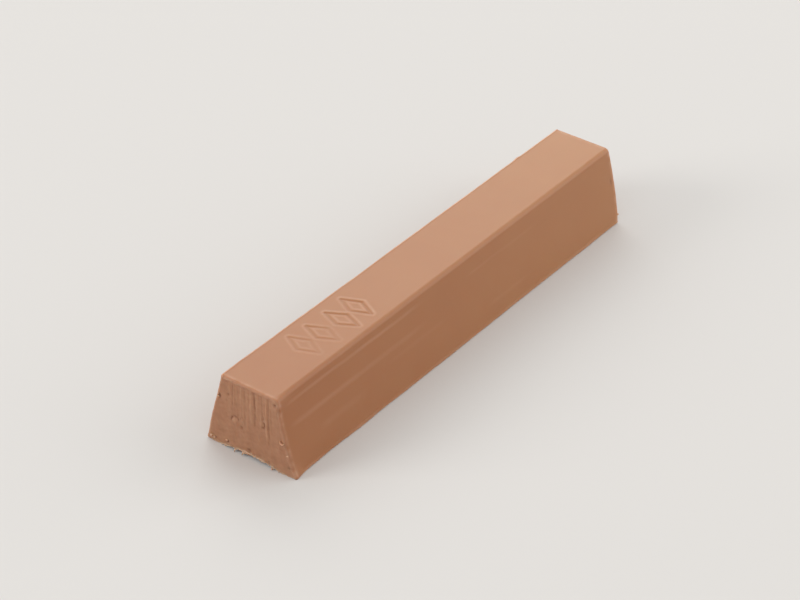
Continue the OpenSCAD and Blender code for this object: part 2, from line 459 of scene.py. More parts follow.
def cap_index(first_ring, first_inner):
    """Vertex numbers of a cut's grid: its border is a ring of the sides, its middle is new."""
    index = np.zeros((ACROSS + 1, UP + 1), int)
    index[:, 0] = np.arange(ACROSS + 1)
    index[ACROSS, :] = ACROSS + np.arange(UP + 1)
    index[:, UP] = ACROSS + UP + np.arange(ACROSS, -1, -1)
    index[0, :] = 2 * ACROSS + UP + np.arange(UP, -1, -1)
    index[0, 0] = 0
    index += first_ring
    inner = (ACROSS - 1) * (UP - 1)
    index[1:-1, 1:-1] = first_inner + np.arange(inner).reshape(ACROSS - 1, UP - 1)
    return index


def make_mesh(name, shape, marks, material):
    """A finished piece: points in millimetres, faces in arrays by their number of corners, and one
    number per point for each named mark."""
    points, *face_arrays = shape
    faces = [face for array in face_arrays for face in array.tolist()]
    mesh = bpy.data.meshes.new(name)
    mesh.from_pydata(points * MM, [], faces)
    mesh.polygons.foreach_set("use_smooth", np.ones(len(faces), bool))
    for mark, values in marks.items():
        attribute = mesh.attributes.new(mark, "FLOAT", "POINT")
        attribute.data.foreach_set("value", values.astype(np.float32))
    mesh.materials.append(material)
    mesh.validate()
    mesh.update()
    piece = bpy.data.objects.new(name, mesh)
    bpy.context.scene.collection.objects.link(piece)
    return piece


# The rims of the cuts: how far in the relief starts, where the lip stands, and how rough it is
RELIEF_START = 0.35
RIM_LIP_PLACE = 0.06
RIM_LIP_SPREAD = 0.1
CUT_RIM_ROUGHNESS = ((0.5, 1.1, 26),)
# Heights of the lips round the two cuts: all round, and how much more at the upper left
NEAR_RIM_LIP = (0.008, 0.035)
FAR_RIM_LIP = (0.05, 0)
# How pale a rim is: crushed wax all round, a painted sheen per millimetre of lip, and painted
# light more near the two sides, where the lamps leave the rim dark
CRUSHED_PALE = 0.15
LIP_PAINTED_SHEEN = 6
SIDE_RIM_PAINTED_LIGHT = 0.2
SIDE_RIM_LIGHT_FROM = 5
RIM_PALE_REACH = 0.2


def rim_lip(y, z, even, left):
    """The lip round a cut: even, with an even S more towards the upper left."""
    return even + left * smooth(2.5, 5, y) * smooth(1, 3, z)


def cut_face(ring, place, relief, lip_heights):
    """A cut's grid of points and its marks: the patch inside its ring, lifted by the relief, which
    fades out at the rim, and by a low lip, a bell of the distance from the rim. Place is -1 at the
    near cut and 1 at the far one."""
    looped = np.concatenate([ring, ring[:1]])
    top = looped[:ACROSS + 1]
    right = looped[ACROSS:ACROSS + UP + 1]
    foot = looped[ACROSS + UP:2 * ACROSS + UP + 1][::-1]
    left = looped[2 * ACROSS + UP:][::-1]
    grid = patch(top, foot, left, right)
    y, z = grid[..., 1], grid[..., 2]
    s = np.linspace(0, 1, ACROSS + 1)[:, None]
    to_side = np.minimum(s, 1 - s) * np.abs(left[:, 1] - right[:, 1])
    to_top = z.max(axis=1, keepdims=True) - z
    to_foot = z - z.min(axis=1, keepdims=True)
    to_rim = np.minimum(np.minimum(to_side, to_top), to_foot)
    rough = 1 + waves(at(y, z), CUT_RIM_ROUGHNESS)
    lip = rim_lip(y, z, *lip_heights) * rough
    height, tone_and_shade = relief(y, z)
    raised = height * smooth(0, RELIEF_START, to_rim)
    raised += lip * bell(to_rim - RIM_LIP_PLACE, RIM_LIP_SPREAD)
    grid[..., 0] += place * raised
    # Crushed wax all round the rim, with a painted sheen on its lip and painted light near the
    # sides
    crushed_and_painted_light = (CRUSHED_PALE + SIDE_RIM_PAINTED_LIGHT * (np.abs(y) > SIDE_RIM_LIGHT_FROM)) * rough + LIP_PAINTED_SHEEN * lip
    marks = {
        "pale": crushed_and_painted_light * bell(to_rim, RIM_PALE_REACH),
        "cut": np.ones_like(y),
        "under": np.zeros_like(y),
        "tone_and_shade": tone_and_shade,
    }
    return grid, marks


# Radii of the rounded rims, their wear as (height, wavelength, seed), and the share that is left of
# them under the foot and on the foot edges
NEAR_RIM_R = 0.32
FAR_RIM_R = 0.14
RIM_WEAR = ((0.15, 2.8, 45), (0.06, 0.9, 46))
RIM_UNDER_SHARE = 0.3
RIM_FOOT_EDGE_SHARE = 0.8
# The near cut's right rim was rubbed rounder over its lower half, by this share
RUBBED_SHARE = 0.7
RUBBED_FADE_IN = (0.4, 1.6)
RUBBED_FADE_OUT = (5, 10)
# The hollow under the casting is wavy, and at the near cut its rim is torn, in small steps. Both
# fade out towards the rest strips, between these heights
UNDER_WAVES = ((0.05, 4.5, 41),)
UNDER_FADE = (0.1, 0.4)
TORN_WAVES = ((0.1, 1.1, 42),)
TORN_FADE = (0.12, 0.3)
TORN_REACH = 0.5
TORN_DROP = 0.04
# The rest strips lie below this height, and their skin isn't pushed out, or it would meet the bench
REST_Z = 0.02


def rim_radii(ring, normal):
    """(near, far) radii of the rounded rims, point by point round the section: worn unevenly, and
    smaller under the foot."""
    z = ring[:, 1]
    sideways = np.abs(normal[:, 0])
    wear = 1 + waves(ring, RIM_WEAR)
    up_side = np.maximum(smooth(0.6, 3, z), RIM_FOOT_EDGE_SHARE * smooth(0.1, 0.6, sideways))
    wear *= RIM_UNDER_SHARE + (1 - RIM_UNDER_SHARE) * up_side
    rubbed = facing(-normal[:, 0]) * smooth(*RUBBED_FADE_IN, z) * (1 - smooth(*RUBBED_FADE_OUT, z))
    return NEAR_RIM_R * wear * (1 + RUBBED_SHARE * rubbed), FAR_RIM_R * wear


def rim_drop(away, rim_r):
    """How far a rounded rim has dropped at a distance from its cut: a quarter of a circle."""
    return rim_r - np.sqrt(rim_r ** 2 - np.clip(rim_r - away, 0, rim_r) ** 2)


# How pale the wax is beside a cut, as (share, place, width): crushed wax with a painted sheen all
# round, and painted light again on the sides. Under the foot it loses a share of that
ROUND_PALE_AND_SHEEN = (0.17, 0.35, 0.28)
SIDES_PAINTED_LIGHT = (0.17, 0.1, 0.4)
UNDER_PALE_LOSS = 0.6
SIDE_RIM_ROUGHNESS = ((0.5, 1.4, 44),)
# How strong the painted highlights are on the punched lips, the foot edges and the left arris
PUNCHED_LIP_HIGHLIGHT = 0.35
FOOT_EDGE_PAINTED_HIGHLIGHT = 1.15
FOOT_HIGHLIGHT_Z = 0.15
FOOT_HIGHLIGHT_W = 0.14
ARRIS_PAINTED_HIGHLIGHT = 0.6
ARRIS_HIGHLIGHT_WAVES = ((0.35, 4, 47),)
# How much painted shade darkens the punched grooves and the chip, and how far the cut's colour runs
# on
GROOVE_PAINTED_SHADE = 0.08
CHIP_PAINTED_SHADE = 0.7
CUT_REACH = 0.12


def side_marks(x, y, z, normal_y, to_cut, under, lip, sunk):
    """The marks of the sides: pale, as the largest of bells of the distance to each rim, edge and
    lip, which is crushed wax with a painted sheen beside the cuts, painted light on the cut rims of
    the sides and a painted highlight on the punched lips, the foot edges and the left arris; darker
    with painted shade in the grooves and the chip; cut at the cuts."""
    rough = 1 + waves(at(y, z), SIDE_RIM_ROUGHNESS)
    sideways = np.abs(normal_y)
    share, place, width = ROUND_PALE_AND_SHEEN
    pale = share * bell(to_cut - place, width) * rough * (1 - UNDER_PALE_LOSS * under)
    share, place, width = SIDES_PAINTED_LIGHT
    pale += share * facing(sideways) * bell(to_cut - place, width) * (0.5 + 0.5 * rough)
    # Painted highlight along each foot edge, where its thin lip catches the light
    foot_edge_highlight = smooth(0.2, 0.5, sideways) * bell(z - FOOT_HIGHLIGHT_Z, FOOT_HIGHLIGHT_W)
    # Painted highlight along the left arris, where its rounded edge catches the light
    arris_highlight = smooth(0.1, 0.4, normal_y) * smooth(0.93, 0.97, z / BAR_H)
    arris_highlight *= 1 + waves(at(x, y), ARRIS_HIGHLIGHT_WAVES)
    for other in (PUNCHED_LIP_HIGHLIGHT * lip, FOOT_EDGE_PAINTED_HIGHLIGHT * foot_edge_highlight, ARRIS_PAINTED_HIGHLIGHT * arris_highlight):
        pale = np.maximum(pale, other)
    return {
        "pale": pale,
        "cut": bell(to_cut, CUT_REACH),
        "under": under,
        "tone_and_shade": -GROOVE_PAINTED_SHADE * sunk - CHIP_PAINTED_SHADE * chip_share(x, z, normal_y),
    }


def bar_sides():
    """The points and marks of the sides: the section carried along the bar, each point moved out
    along the section's normal by the height of the skin, less the rounding of the rims."""
    ring = section()
    normal = outward(ring)
    y, z, normal_y, normal_z, inset = np.broadcast_arrays(*ring.T, *normal.T, stations()[:, None])
    x = NEAR_X + inset + far_cut_place(z) * smooth(FAR_CUT_START, 1, inset / BAR_LEN)
    under = facing(-normal_z)
    on_top = smooth(0.9, 0.99, normal_z)
    punched, lip, sunk = punched_row(x, y)
    height = skin_height(x, y, z, normal_y) + punched * on_top
    near_rim_r, far_rim_r = rim_radii(ring, normal)
    height -= rim_drop(inset, near_rim_r) + rim_drop(BAR_LEN - inset, far_rim_r)
    height = np.where(z < REST_Z, np.minimum(height, 0), height)
    height += under * smooth(*UNDER_FADE, z) * waves(at(x, y), UNDER_WAVES)
    torn = bell(inset, TORN_REACH) * under * smooth(*TORN_FADE, z)
    height += torn * (waves(at(y, 0), TORN_WAVES) - TORN_DROP)
    points = at(x, y + height * normal_y, np.maximum(z + height * normal_z, 0))
    to_cut = np.minimum(inset, BAR_LEN - inset)
    return points, side_marks(x, y, z, normal_y, to_cut, under, lip * on_top, sunk * on_top)


def wax_bar_mesh(material):
    """The whole casting as one closed skin: its sides, and over each cut a patch that shares the
    sides' ring there."""
    sides, marks = bar_sides()
    faces = [
        cut_face(sides[0], -1, near_cut_relief, NEAR_RIM_LIP),
        cut_face(sides[-1], 1, far_cut_relief, FAR_RIM_LIP),
    ]
    points = np.concatenate(
        [sides.reshape(-1, 3)] + [grid[1:-1, 1:-1].reshape(-1, 3) for grid, _ in faces]
    )
    marks = {
        name: np.concatenate(
            [values.ravel()] + [face_marks[name][1:-1, 1:-1].ravel() for _, face_marks in faces]
        )
        for name, values in marks.items()
    }
    count = sides.shape[0] * AROUND
    side_index = np.arange(count).reshape(-1, AROUND)
    side_index = np.concatenate([side_index, side_index[:, :1]], axis=1)
    near_index = cap_index(0, count)
    far_index = cap_index(count - AROUND, count + (ACROSS - 1) * (UP - 1))
    cells = np.concatenate([quads(side_index), quads(near_index), quads(far_index)[:, ::-1]])
    return make_mesh("wax_bar_skin", (points, cells), marks, material)


def closed_tube(rings, first, last):
    """Points, quads and triangles of a tube of rings, each end drawn to one point."""
    along, around = rings.shape[:2]
    points = np.concatenate([rings.reshape(-1, 3), [first, last]])
    index = np.arange(along * around).reshape(along, around)
    index = np.concatenate([index, index[:, :1]], axis=1)
    start, stop = along * around, along * around + 1
    near_fan = at(start, index[0, 1:], index[0, :-1])
    far_fan = at(index[-1, :-1], index[-1, 1:], stop)
    return points, quads(index), np.concatenate([near_fan, far_fan])


# Points round a shred, and round a stretch of the burr
SHRED_AROUND = 12


def shred(path, side, half_width, half_thick):
    """A torn shred: an oval, wide along side and thin across it, carried along a path. The given
    arrays say its size, and each end is drawn to a point."""
    tangent = np.gradient(path, axis=0)
    tangent /= np.linalg.norm(tangent, axis=-1, keepdims=True)
    side = side - (tangent * side).sum(axis=-1, keepdims=True) * tangent
    side /= np.linalg.norm(side, axis=-1, keepdims=True)
    thin = np.cross(tangent, side)
    turn = np.linspace(0, 2 * math.pi, SHRED_AROUND, endpoint=False)
    wide = half_width[:, None, None] * np.cos(turn)[None, :, None] * side[:, None]
    thick = half_thick[:, None, None] * np.sin(turn)[None, :, None] * thin[:, None]
    rings = path[:, None] + wide + thick
    return closed_tube(rings[1:-1], path[0], path[-1])


# A crumb's rings, its two ripples as (height, wavelength), and its size along, across and up
CRUMB_RINGS = 20
CRUMB_RIPPLES = ((0.26, 1.5), (0.1, 0.5))
CRUMB_STRETCH = np.array([0.5, 1.15, 0.75])


def crumb(middle, radius, seed):
    """A crumb: a ball whose radius varies with seamless ripples of the direction, flattened along
    the bar and widened across it."""
    polar = np.linspace(0, math.pi, CRUMB_RINGS)[:, None]
    turn = np.linspace(0, 2 * math.pi, 2 * CRUMB_RINGS, endpoint=False)[None, :]
    direction = at(np.cos(polar), np.sin(polar) * np.sin(turn), np.sin(polar) * np.cos(turn))
    table = [(swing, length, seed + i) for i, (swing, length) in enumerate(CRUMB_RIPPLES)]
    swell = radius * (1 + waves(direction, table))
    shape = np.array(middle) + swell[..., None] * direction * CRUMB_STRETCH
    return closed_tube(shape[1:-1], shape[0, 0], shape[-1, 0])


def join(parts):
    """Several closed tubes as one list of points, one array of quads and one of triangles."""
    starts = np.cumsum([0] + [len(points) for points, _, _ in parts])
    return (
        np.concatenate([points for points, _, _ in parts]),
        np.concatenate([start + four for start, (_, four, _) in zip(starts, parts)]),
        np.concatenate([start + three for start, (_, _, three) in zip(starts, parts)]),
    )


def foot_rim_z(y):
    """Height of the hollow's arc over the bench at a distance from the middle."""
    return SINK_DEPTH - SINK_R + np.sqrt(SINK_R ** 2 - np.minimum(np.abs(y), SINK_HALF_W) ** 2)


# Slivers of the near cut: place across, width, drop below the rim, outward lean, sideways slant
SLIVERS = (
    (3.05, 0.3, 0.34, 0.5, -0.16), (2.75, 0.24, 0.2, 0.3, 0.14), (1.55, 0.3, 0.38, 0.55, -0.24),
    (1.2, 0.26, 0.24, 0.36, 0.1), (-4.3, 0.34, 0.36, 0.5, -0.2), (-4.7, 0.24, 0.24, 0.36, 0.14),
    (-5.6, 0.28, 0.12, 0.3, -0.1), (5.0, 0.26, 0.1, 0.2, 0.1), (-2.3, 0.26, 0.16, 0.24, 0.1),
)
SLIVER_STEPS = 14
SLIVER_HALF_THICK = 0.07
SLIVER_ROOT_RISE = 0.2
SLIVER_ROOT_DEPTH = 0.04
SLIVER_CLEARANCE = 0.09
SLIVER_SIDE = np.array([0.3, 1.0, 0.0])


def sliver(y, width, drop, lean, slant):
    """One sliver: its path falls from the root in the burr to a tip below the rim, clear of the
    bench, and leans out and slants to a side by powers of the share u along it. It narrows to the
    tip as (1 - u)^0.38, a little unevenly by a sine."""
    u = np.linspace(0, 1, SLIVER_STEPS)
    root = foot_rim_z(y) + SLIVER_ROOT_RISE
    tip = max(foot_rim_z(y) - drop, SLIVER_CLEARANCE)
    path = at(
        NEAR_X + SLIVER_ROOT_DEPTH - (lean + SLIVER_ROOT_DEPTH) * u ** 1.5,
        y + slant * u ** 1.3 + 0.03 * np.sin(7 * u + 5 * y),
        root + (tip - root) * u ** 0.8,
    )
    body = (1 - u) ** 0.38 * (1 + 0.25 * np.sin(9 * u + 7 * y))
    return shred(path, SLIVER_SIDE, width / 2 * body, SLIVER_HALF_THICK * body)


# The burr on the foot rim, in stretches: its two ends across the bar, its height, how far it hangs,
# its thickness and its seed
BURRS = (
    (7.6, 3.3, 0.22, 0.16, 0.05, 81), (3.6, -1.2, 0.34, 0.2, 0.1, 82),
    (-0.8, -4.0, 0.32, 0.14, 0.1, 83), (-3.7, -5.6, 0.24, 0.24, 0.07, 84),
    (-5.4, -8.0, 0.22, 0.12, 0.06, 85),
)
BURR_STEPS = 150
BURR_SLOW = 1.3
BURR_FAST = 0.42
# The burr's root lies this deep in the cut, and root and tip stay this high over the bench
BURR_ROOT_DEPTH = 0.02
BURR_ROOT_MIN_Z = 0.06
BURR_TIP_MIN_Z = 0.03
BURR_MIN_HEIGHT = 0.02


def foot_burr(start, stop, rise, hang, thick, seed):
    """A stretch of the burr: a thin skirt that clings to the cut above the foot rim and hangs below
    it with a torn edge. Each cross-section is a lens from its root down to its tip, and the tip's
    drop is the clipped sum of a slow and a fast ripple along the rim."""
    u = np.linspace(0, 1, BURR_STEPS)[:, None]
    turn = np.linspace(0, 2 * math.pi, SHRED_AROUND, endpoint=False)[None, :]
    y = start + (stop - start) * u
    rim = foot_rim_z(y)
    slow = ripple(at(y, 0), BURR_SLOW, seed)
    fast = ripple(at(y, 0), BURR_FAST, seed + 20)
    taper = np.clip(np.sin(math.pi * u), 0, 1) ** 0.35
    torn = np.clip(0.35 + 0.5 * slow + 0.55 * fast, -0.4, 1.5)
    root_z = np.maximum(rim + rise * (0.8 + 0.25 * slow) * taper, BURR_ROOT_MIN_Z)
    tip_z = np.maximum(rim - hang * torn * taper, BURR_TIP_MIN_Z)
    tip_z = np.minimum(tip_z, root_z - BURR_MIN_HEIGHT)
    root_x = NEAR_X + BURR_ROOT_DEPTH
    tip_x = NEAR_X - (0.07 + 0.05 * slow) * taper
    share = (1 - np.cos(turn)) / 2
    bulge = thick * (0.7 + 0.3 * fast) * taper * np.sin(turn) * (1 - 0.5 * share)
    rings = at(root_x + (tip_x - root_x) * share - bulge, y, root_z + (tip_z - root_z) * share)
    return closed_tube(rings[1:-1], rings[0].mean(axis=0), rings[-1].mean(axis=0))


def near_slivers():
    """The burr along the foot rim and the slivers that hang from it."""
    return join([foot_burr(*values) for values in BURRS] + [sliver(*values) for values in SLIVERS])


# The curl on the near cut's right rim
CURL_Y = -6.55
CURL_Z = 6.25
CURL_R = 0.42
CURL_OPENING = 0.3
CURL_STEPS = 30
CURL_START = 1.08 * math.pi
CURL_SWEEP = 0.98 * math.pi
CURL_OUT = 0.12
CURL_BOW = 0.1
CURL_HALF_WIDTH = 0.24
CURL_HALF_THICK = 0.075
ALONG_BAR = np.array([1.0, 0.0, 0.0])


def near_curl():
    """The curl: a ribbon on edge whose path is about half a turn, its radius growing as it goes.
    Its width and thickness swell from both ends as a power of a sine."""
    u = np.linspace(0, 1, CURL_STEPS)
    turn = CURL_START + CURL_SWEEP * u
    radius = CURL_R * (1 + CURL_OPENING * (u - 0.5))
    path = at(
        NEAR_X - CURL_OUT - CURL_BOW * np.sin(math.pi * u),
        CURL_Y + radius * np.cos(turn),
        CURL_Z + radius * np.sin(turn),
    )
    body = np.sin(math.pi * u) ** 0.45
    return shred(path, ALONG_BAR, CURL_HALF_WIDTH * body, CURL_HALF_THICK * body)


# Crumbs of the near cut and of the far one: place across, height, radius. Their middles stand out
# from the cuts by a share of the radius
NEAR_CRUMBS = (
    (-7.4, 3.8, 0.2), (7.75, 0.8, 0.3), (7.2, 0.75, 0.2), (4.7, 1.3, 0.22), (6.0, 9.15, 0.2),
)
NEAR_CRUMB_OUT = 0.2
NEAR_CRUMB_SEED = 50
FAR_CRUMB = (-8.15, 1.4, 0.3)
FAR_CRUMB_OUT = 0.35
FAR_CRUMB_SEED = 70


def near_crumbs():
    """The crumbs that cling to the near cut, each with less than half of it sunk in the face."""
    return join([
        crumb((NEAR_X - NEAR_CRUMB_OUT * r, y, z), r, NEAR_CRUMB_SEED + i)
        for i, (y, z, r) in enumerate(NEAR_CRUMBS)
    ])


def far_crumb():
    """The one crumb on the far cut's rim."""
    y, z, r = FAR_CRUMB
    return crumb((-NEAR_X + far_cut_place(z) + FAR_CRUMB_OUT * r, y, z), r, FAR_CRUMB_SEED)


def hex_colour(code):
    """An sRGB hex code as linear red, green, blue and alpha."""
    values = [int(code[i:i + 2], 16) / 255 for i in (1, 3, 5)]
    linear = [v / 12.92 if v <= 0.04045 else ((v + 0.055) / 1.055) ** 2.4 for v in values]
    return (*linear, 1.0)


def add(tree, kind, inputs=(), **settings):
    """A node with its settings made, and each input set to a value or linked to another node's
    socket. A node stands for the first of its outputs in use."""
    node = tree.nodes.new(kind)
    for name, value in settings.items():
        setattr(node, name, value)
    for name, value in dict(inputs).items():
        named = [s for i, s in enumerate(node.inputs) if name in (i, s.name) and s.enabled]
        if isinstance(value, bpy.types.Node):
            value = [s for s in value.outputs if s.enabled][0]
        if isinstance(value, bpy.types.NodeSocket):
            tree.links.new(value, named[0])
        else:
            named[0].default_value = value
    return node


def new_material(name):
    """An empty node material and its tree."""
    material = bpy.data.materials.new(name)
    material.use_nodes = True
    material.node_tree.nodes.clear()
    return material, material.node_tree


def per_metre(millimetres):
    """The texture scale at which a pattern repeats in that many millimetres."""
    return 1 / (millimetres * MM)


# Hard wax: its refraction, how far red, green and blue light scatter in it, and that reach
WAX_IOR = 1.44
WAX_SCATTER_RADIUS = (1.0, 0.5, 0.3)
WAX_SCATTER_MM = 0.9
TORN_SCATTER_MM = 0.4

# The colours of the wax, each pair from darker to lighter
CAST_COLOURS = ("#A87049", "#B48056")
SAWN_COLOURS = ("#A6785A", "#B88A6A")
# Torn wax is paler, partly painted light that lifts the shade under the burr's down-facing skirt
TORN_COLOURS_AND_PAINTED_LIGHT = ("#BC8F70", "#D6AE8E")
# Pale colour of crushed rims and scratches, also used for painted highlights, sheen and light
PALE_WEAR_AND_HIGHLIGHT_COLOUR = "#DEB89C"
# Painted shade in pits, gaps and grooves and painted highlight on ridges, with the mottle and the
# scraped tone: the value at which the colour is strongest, its share there, and the colour
SHADE_AND_TONE_COLOURS = ((-1.0, 0.75, "#7E5036"), (1.0, 0.6, "#CBA382"))

# Pattern sizes in millimetres. The grain is drawn coarser than it is, or it wouldn't show
MOTTLE_MM = 9
GRAIN_MM = 0.7
CRACK_MM = 1.2
HAIR_MM = 0.35
SKIN_MM = 0.9
SAW_MM = 0.5
TORN_MM = 0.25
# How much each pattern is stretched, and the depth of the bumps
CRACK_SHRINK = 0.12
HAIR_STRETCH = 60
SAW_STRETCH = 12
SAW_HEIGHT = 6.0
SKIN_BUMP_MM = 0.02
TORN_BUMP_MM = 0.03

# Scratches along the right side: height, the two ends along the bar, half width, strength
SCRATCHES = (
    (11.75, -44, -8, 0.24, 0.3), (8.15, -44, -8, 0.36, 0.2), (4.7, -38, -24, 0.5, 0.12),
    (10.4, 2, 24, 0.2, 0.1), (6.3, -20, -2, 0.3, 0.08), (3.2, 6, 20, 0.3, 0.1),
)
SCRATCH_WANDER = 0.5
SCRATCH_FADE_IN = 3
SCRATCH_FADE_OUT = 6
RIGHT_SIDE_Y = -4.9


def scratch_lines(tree, place, wander):
    """The strongest of the scratches at each point: each is an even S down from the middle of its
    line, bent a little by the wander and faded at both ends, on the right side alone."""
    parts = add(tree, "ShaderNodeSeparateXYZ", {"Vector": place})
    right = add(tree, "ShaderNodeMath", {
        0: parts.outputs["Y"], 1: RIGHT_SIDE_Y * MM,
    }, operation="LESS_THAN")
    bent = add(tree, "ShaderNodeMath", {
        0: wander, 1: SCRATCH_WANDER * MM, 2: parts.outputs["Z"],
    }, operation="MULTIPLY_ADD")
    strongest = None
    for rise, start, stop, half_width, strength in SCRATCHES:
        across = add(tree, "ShaderNodeMath", {
            0: bent, 1: (rise + SCRATCH_WANDER / 2) * MM,
        }, operation="SUBTRACT")
        away = add(tree, "ShaderNodeMath", {0: across}, operation="ABSOLUTE")
        lit = add(tree, "ShaderNodeMapRange", {
            "Value": away, "From Min": 0.0, "From Max": 2 * half_width * MM,
            "To Min": 1.0, "To Max": 0.0,
        }, interpolation_type="SMOOTHSTEP")
        begun = add(tree, "ShaderNodeMapRange", {
            "Value": parts.outputs["X"],
            "From Min": start * MM, "From Max": (start + SCRATCH_FADE_IN) * MM,
        }, interpolation_type="SMOOTHSTEP")
        faded = add(tree, "ShaderNodeMapRange", {
            "Value": parts.outputs["X"],
            "From Min": (stop - SCRATCH_FADE_OUT) * MM, "From Max": stop * MM,
            "To Min": strength, "To Max": 0.0,
        }, interpolation_type="SMOOTHSTEP")
        for share in (begun, faded):
            lit = add(tree, "ShaderNodeMath", {0: lit, 1: share}, operation="MULTIPLY")
        if strongest:
            lit = add(tree, "ShaderNodeMath", {0: lit, 1: strongest}, operation="MAXIMUM")
        strongest = lit
    return add(tree, "ShaderNodeMath", {0: strongest, 1: right}, operation="MULTIPLY")


def wax_body(tree, place, cut, tone_and_shade, mottle, grain):
    """The colour of sound wax, with painted light. A painted falloff of the light makes it darker
    and redder by the near cut and lighter and yellower by the far one, over a random mottle.
    Painted shade darkens pits, gaps and grooves, and a painted highlight lightens ridges."""
    along = add(tree, "ShaderNodeSeparateXYZ", {"Vector": place})
    # A painted falloff of the light along the bar: darker near, lighter far
    painted_falloff = add(tree, "ShaderNodeMapRange", {
        "Value": along, "From Min": -60 * MM, "From Max": 60 * MM, "To Min": -0.25, "To Max": 0.75,
    })
    mottle_and_painted_falloff = add(tree, "ShaderNodeMath", {
        0: mottle, 1: 0.5, 2: painted_falloff,
    }, operation="MULTIPLY_ADD", use_clamp=True)
    cast, sawn = (
        add(tree, "ShaderNodeMix", {
            "Factor": share, "A": hex_colour(darker), "B": hex_colour(lighter),
        }, data_type="RGBA")
        for share, (darker, lighter) in ((mottle_and_painted_falloff, CAST_COLOURS), (grain, SAWN_COLOURS))
    )
    body = add(tree, "ShaderNodeMix", {"Factor": cut, "A": cast, "B": sawn}, data_type="RGBA")
    for full_tone_and_shade, strongest, colour in SHADE_AND_TONE_COLOURS:
        share = add(tree, "ShaderNodeMapRange", {
            "Value": tone_and_shade, "From Min": 0.0, "From Max": full_tone_and_shade,
            "To Min": 0.0, "To Max": strongest,
        })
        body = add(tree, "ShaderNodeMix", {
            "Factor": share, "A": body, "B": hex_colour(colour),
        }, data_type="RGBA")
    return body


def pale_wear_and_highlight_share(tree, place, pale, mottle, grain):
    """How much of a point is pale: the larger of the rims, broken up by the grain, and the
    scratches, broken up along the bar. Crushed wax on the rims and in the scratches is pale because
    its fine cracks scatter light; the rest of the rims' paleness is painted sheen, light and
    highlight."""
    broken = add(tree, "ShaderNodeMath", {0: grain, 1: 0.25}, operation="ADD")
    rims = add(tree, "ShaderNodeMath", {0: pale, 1: broken}, operation="MULTIPLY", use_clamp=True)
    drawn_out = add(tree, "ShaderNodeMapping", {"Vector": place, "Scale": (CRACK_SHRINK, 1.0, 1.0)})
    cracks = add(tree, "ShaderNodeTexNoise", {
        "Vector": drawn_out, "Scale": per_metre(CRACK_MM), "Detail": 4.0,
    })
    scratched = add(tree, "ShaderNodeMath", {
        0: scratch_lines(tree, place, mottle), 1: cracks,
    }, operation="MULTIPLY")
    return add(tree, "ShaderNodeMath", {0: rims, 1: scratched}, operation="MAXIMUM")


def wax_bump(tree, place, cut):
    """The finest relief: hair scratches along the bar and a grain on the cast skin, and upright
    scrapes on sawn wax."""
    drawn_along = add(tree, "ShaderNodeMapping", {
        "Vector": place, "Scale": (1 / HAIR_STRETCH, 1.0, 1.0),
    })
    hairs = add(tree, "ShaderNodeTexNoise", {
        "Vector": drawn_along, "Scale": per_metre(HAIR_MM), "Detail": 3.0,
    })
    skin = add(tree, "ShaderNodeTexNoise", {
        "Vector": place, "Scale": per_metre(SKIN_MM), "Detail": 4.0,
    })
    drawn_up = add(tree, "ShaderNodeMapping", {
        "Vector": place, "Scale": (1.0, 1.0, 1 / SAW_STRETCH),
    })
    saw = add(tree, "ShaderNodeTexNoise", {
        "Vector": drawn_up, "Scale": per_metre(SAW_MM), "Detail": 4.0,
    })
    cast_height = add(tree, "ShaderNodeMath", {0: hairs, 1: skin}, operation="ADD")
    sawn_height = add(tree, "ShaderNodeMath", {0: saw, 1: SAW_HEIGHT}, operation="MULTIPLY")
    height = add(tree, "ShaderNodeMix", {
        "Factor": cut, "A": cast_height, "B": sawn_height,
    }, data_type="FLOAT")
    return add(tree, "ShaderNodeBump", {
        "Height": height, "Strength": 0.35, "Distance": SKIN_BUMP_MM * MM,
    })


def cast_wax():
    """Hard pigmented repair wax, cast in a smooth trough and sawn. The cast skin is even and satin,
    with a slow mottle and hair scratches along the bar; sawn wax is duller and greyer; crushed rims
    are pale. Its colour also holds painted light: a falloff along the bar, shade in pits, gaps and
    grooves, and highlights and sheen on ridges, lips, rims and edges."""
    material, tree = new_material("cast_pigmented_wax")
    place = add(tree, "ShaderNodeTexCoord").outputs["Object"]
    cut, pale, under, tone_and_shade = (
        add(tree, "ShaderNodeAttribute", attribute_name=mark).outputs["Fac"]
        for mark in ("cut", "pale", "under", "tone_and_shade")
    )
    mottle = add(tree, "ShaderNodeTexNoise", {
        "Vector": place, "Scale": per_metre(MOTTLE_MM), "Detail": 4.0,
    })
    grain = add(tree, "ShaderNodeTexNoise", {
        "Vector": place, "Scale": per_metre(GRAIN_MM), "Detail": 5.0,
    })
    colour = add(tree, "ShaderNodeMix", {
        "Factor": pale_wear_and_highlight_share(tree, place, pale, mottle, grain),
        "A": wax_body(tree, place, cut, tone_and_shade, mottle, grain),
        "B": hex_colour(PALE_WEAR_AND_HIGHLIGHT_COLOUR),
    }, data_type="RGBA")
    # Satin where it was cast, duller where it was sawn, and a little duller under the foot
    by_cut = add(tree, "ShaderNodeMapRange", {"Value": cut, "To Min": 0.43, "To Max": 0.62})
    rough = add(tree, "ShaderNodeMath", {0: under, 1: 0.1, 2: by_cut}, operation="MULTIPLY_ADD")
    shader = add(tree, "ShaderNodeBsdfPrincipled", {
        "Base Color": colour,
        "Roughness": rough,
        "IOR": WAX_IOR,
        "Subsurface Weight": 0.5,
        "Subsurface Radius": WAX_SCATTER_RADIUS,
        "Subsurface Scale": WAX_SCATTER_MM * MM,
        "Normal": wax_bump(tree, place, cut),
    })
    add(tree, "ShaderNodeOutputMaterial", {"Surface": shader})
    return material


